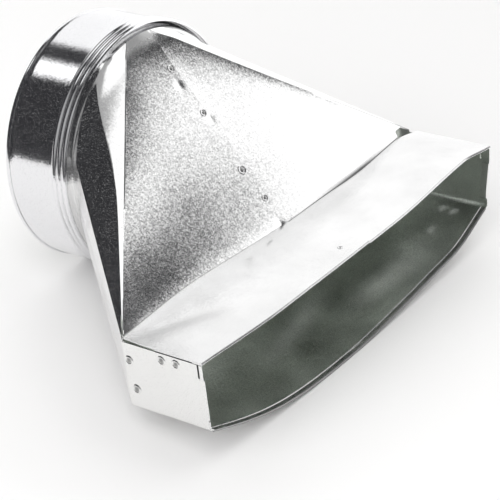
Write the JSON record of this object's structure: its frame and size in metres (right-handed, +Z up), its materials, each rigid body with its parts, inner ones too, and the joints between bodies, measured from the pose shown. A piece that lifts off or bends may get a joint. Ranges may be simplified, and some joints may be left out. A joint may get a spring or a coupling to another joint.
{
  "type": "oven flue adapter",
  "caption": "Galvanised sheet duct adapter from a wide, low mouth with a bowed lower lip to a round beaded flue collar, with clinched end plates at the mouth.",
  "frame": {"origin": "on the floor, below the centre of the bounding box of the adapter as it comes to rest", "axes": "+X across the mouth to the right as seen into the mouth, +Y from the mouth towards the collar, +Z up; the adapter rests on its bowed lower lip and the rim of its collar, so the flue axis falls 7.5 degrees from the mouth to the collar"},
  "size_m": [0.284, 0.2128, 0.1574],
  "materials": {
    "galvanised_collar": "bright galvanised, smooth rolled",
    "galvanised_body": "bright galvanised with fine spangle",
    "galvanised_plate": "bright galvanised with fine spangle"
  },
  "bodies": {
    "root": {"collar": "galvanised_collar", "body": "galvanised_body", "left_end_plate": "galvanised_plate", "right_end_plate": "galvanised_plate"}
  },
  "joints": []
}
